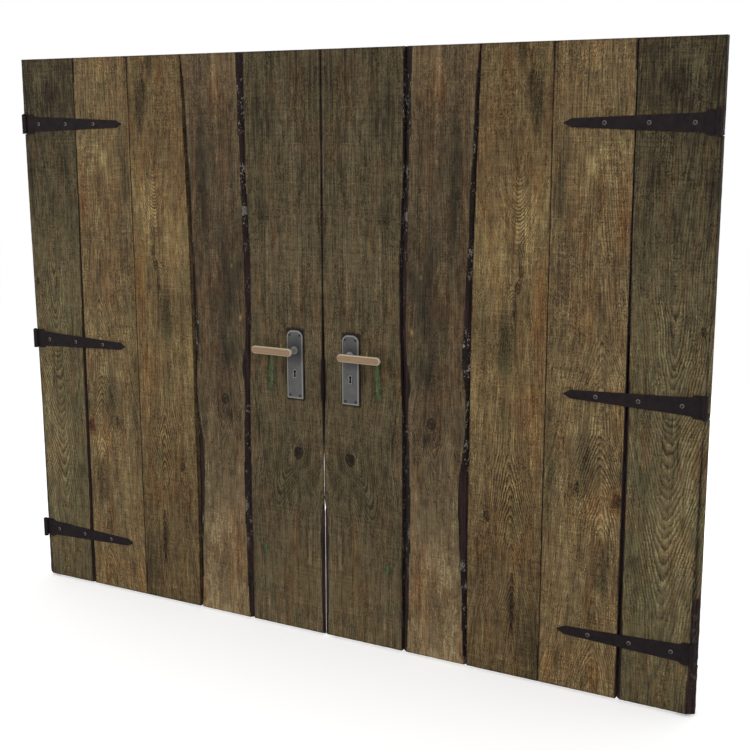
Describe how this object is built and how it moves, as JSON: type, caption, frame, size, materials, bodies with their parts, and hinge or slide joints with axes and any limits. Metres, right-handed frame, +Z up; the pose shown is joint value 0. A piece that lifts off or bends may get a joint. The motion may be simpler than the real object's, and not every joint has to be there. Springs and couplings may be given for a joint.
{
  "type": "barn door",
  "caption": "Closed double barn door of rough weathered planks on a frame, with long strap hinges, levers on keyhole plates, ledges, braces and bolts inside.",
  "frame": {"origin": "bottom centre of the whole door: at floor level, in the middle of its width and depth", "axes": "+X across the door to the right as seen from outside, +Y from outside to inside, +Z up"},
  "size_m": [2.737, 0.177, 2.11],
  "materials": {
    "outer_board": "rough-sawn, weathered, dark greenish grey-brown",
    "second_board": "rough-sawn, weathered, warm tan",
    "third_board": "rough-sawn, weathered, light tan",
    "fourth_board": "rough-sawn, weathered, purplish brown with bark on both edges",
    "inner_board": "rough-sawn, weathered, dark brown",
    "ledge_timber": "rough-sawn, weathered",
    "frame_timber": "rough-sawn, weathered",
    "black_iron": "matt black forged iron",
    "steel_fixings": "dull worn steel",
    "pewter": "dark satin pewter finish, paler on its edges",
    "case_iron": "matt black paint",
    "bolt_steel": "bright worn steel",
    "grip_wood": "smooth pale wood"
  },
  "bodies": {
    "frame": {"left_post": "frame_timber", "right_post": "frame_timber", "frame_head": "frame_timber", "frame_screws": "steel_fixings", "left_top_hinge_hook": "black_iron", "left_middle_hinge_hook": "black_iron", "left_bottom_hinge_hook": "black_iron", "right_top_hinge_hook": "black_iron", "right_middle_hinge_hook": "black_iron", "right_bottom_hinge_hook": "black_iron"},
    "left_leaf": {"left_outer_plank": "outer_board", "left_second_plank": "second_board", "left_third_plank": "third_board", "left_fourth_plank": "fourth_board", "left_inner_plank": "inner_board", "left_top_ledge": "ledge_timber", "left_top_strap": "black_iron", "left_middle_ledge": "ledge_timber", "left_middle_strap": "black_iron", "left_bottom_ledge": "ledge_timber", "left_bottom_strap": "black_iron", "left_lower_brace": "ledge_timber", "left_upper_brace": "ledge_timber", "left_ledge_nails": "steel_fixings", "left_strap_bolts": "steel_fixings", "left_small_screws": "pewter", "left_lever_plate": "pewter", "left_lock_case": "case_iron"},
    "left_lever": {"left_lever_neck": "pewter", "left_lever_grip": "grip_wood", "left_inside_lever_neck": "pewter", "left_inside_lever_grip": "grip_wood"},
    "right_leaf": {"right_outer_plank": "outer_board", "right_second_plank": "second_board", "right_third_plank": "third_board", "right_fourth_plank": "fourth_board", "right_inner_plank": "inner_board", "right_top_ledge": "ledge_timber", "right_top_strap": "black_iron", "right_middle_ledge": "ledge_timber", "right_middle_strap": "black_iron", "right_bottom_ledge": "ledge_timber", "right_bottom_strap": "black_iron", "right_lower_brace": "ledge_timber", "right_upper_brace": "ledge_timber", "right_ledge_nails": "steel_fixings", "right_strap_bolts": "steel_fixings", "right_small_screws": "pewter", "right_lever_plate": "pewter", "right_keep_case": "case_iron", "right_top_slide_plate": "black_iron", "right_bottom_slide_plate": "black_iron"},
    "right_lever": {"right_lever_neck": "pewter", "right_lever_grip": "grip_wood", "right_inside_lever_neck": "pewter", "right_inside_lever_grip": "grip_wood"},
    "latch_bolt": {"left_latch_bolt": "bolt_steel"},
    "dead_bolt": {"left_dead_bolt": "bolt_steel"},
    "top_slide_bolt": {"right_top_slide_rod": "black_iron"},
    "bottom_slide_bolt": {"right_bottom_slide_rod": "black_iron"}
  },
  "joints": [
    {"name": "left_leaf_swing", "type": "hinge", "parent": "frame", "child": "left_leaf", "pos_m": [-1.3595, -0.032, 1.067], "axis": [0, 0, -1], "range_deg": [0, 170]},
    {"name": "left_lever_turn", "type": "hinge", "parent": "left_leaf", "child": "left_lever", "pos_m": [-0.1152, -0.0225, 1.067], "axis": [0, -1, 0], "range_deg": [0, 40], "stiffness_Nm_per_rad": 1.5, "springref_deg": -28.65},
    {"name": "right_leaf_swing", "type": "hinge", "parent": "frame", "child": "right_leaf", "pos_m": [1.3595, -0.032, 1.067], "axis": [0, 0, 1], "range_deg": [0, 170]},
    {"name": "right_lever_turn", "type": "hinge", "parent": "right_leaf", "child": "right_lever", "pos_m": [0.1152, -0.0225, 1.067], "axis": [0, 1, 0], "range_deg": [0, 40], "stiffness_Nm_per_rad": 1.5, "springref_deg": -28.65},
    {"name": "latch_bolt_slide", "type": "slide", "parent": "left_leaf", "child": "latch_bolt", "axis": [1, 0, 0], "range_m": [0, 0.014]},
    {"name": "dead_bolt_slide", "type": "slide", "parent": "left_leaf", "child": "dead_bolt", "axis": [1, 0, 0], "range_m": [0, 0.018]},
    {"name": "top_bolt_slide", "type": "slide", "parent": "right_leaf", "child": "top_slide_bolt", "axis": [0, 0, 1], "range_m": [0, 0.03]},
    {"name": "bottom_bolt_slide", "type": "slide", "parent": "right_leaf", "child": "bottom_slide_bolt", "axis": [0, 0, -1], "range_m": [0, 0.03]}
  ]
}
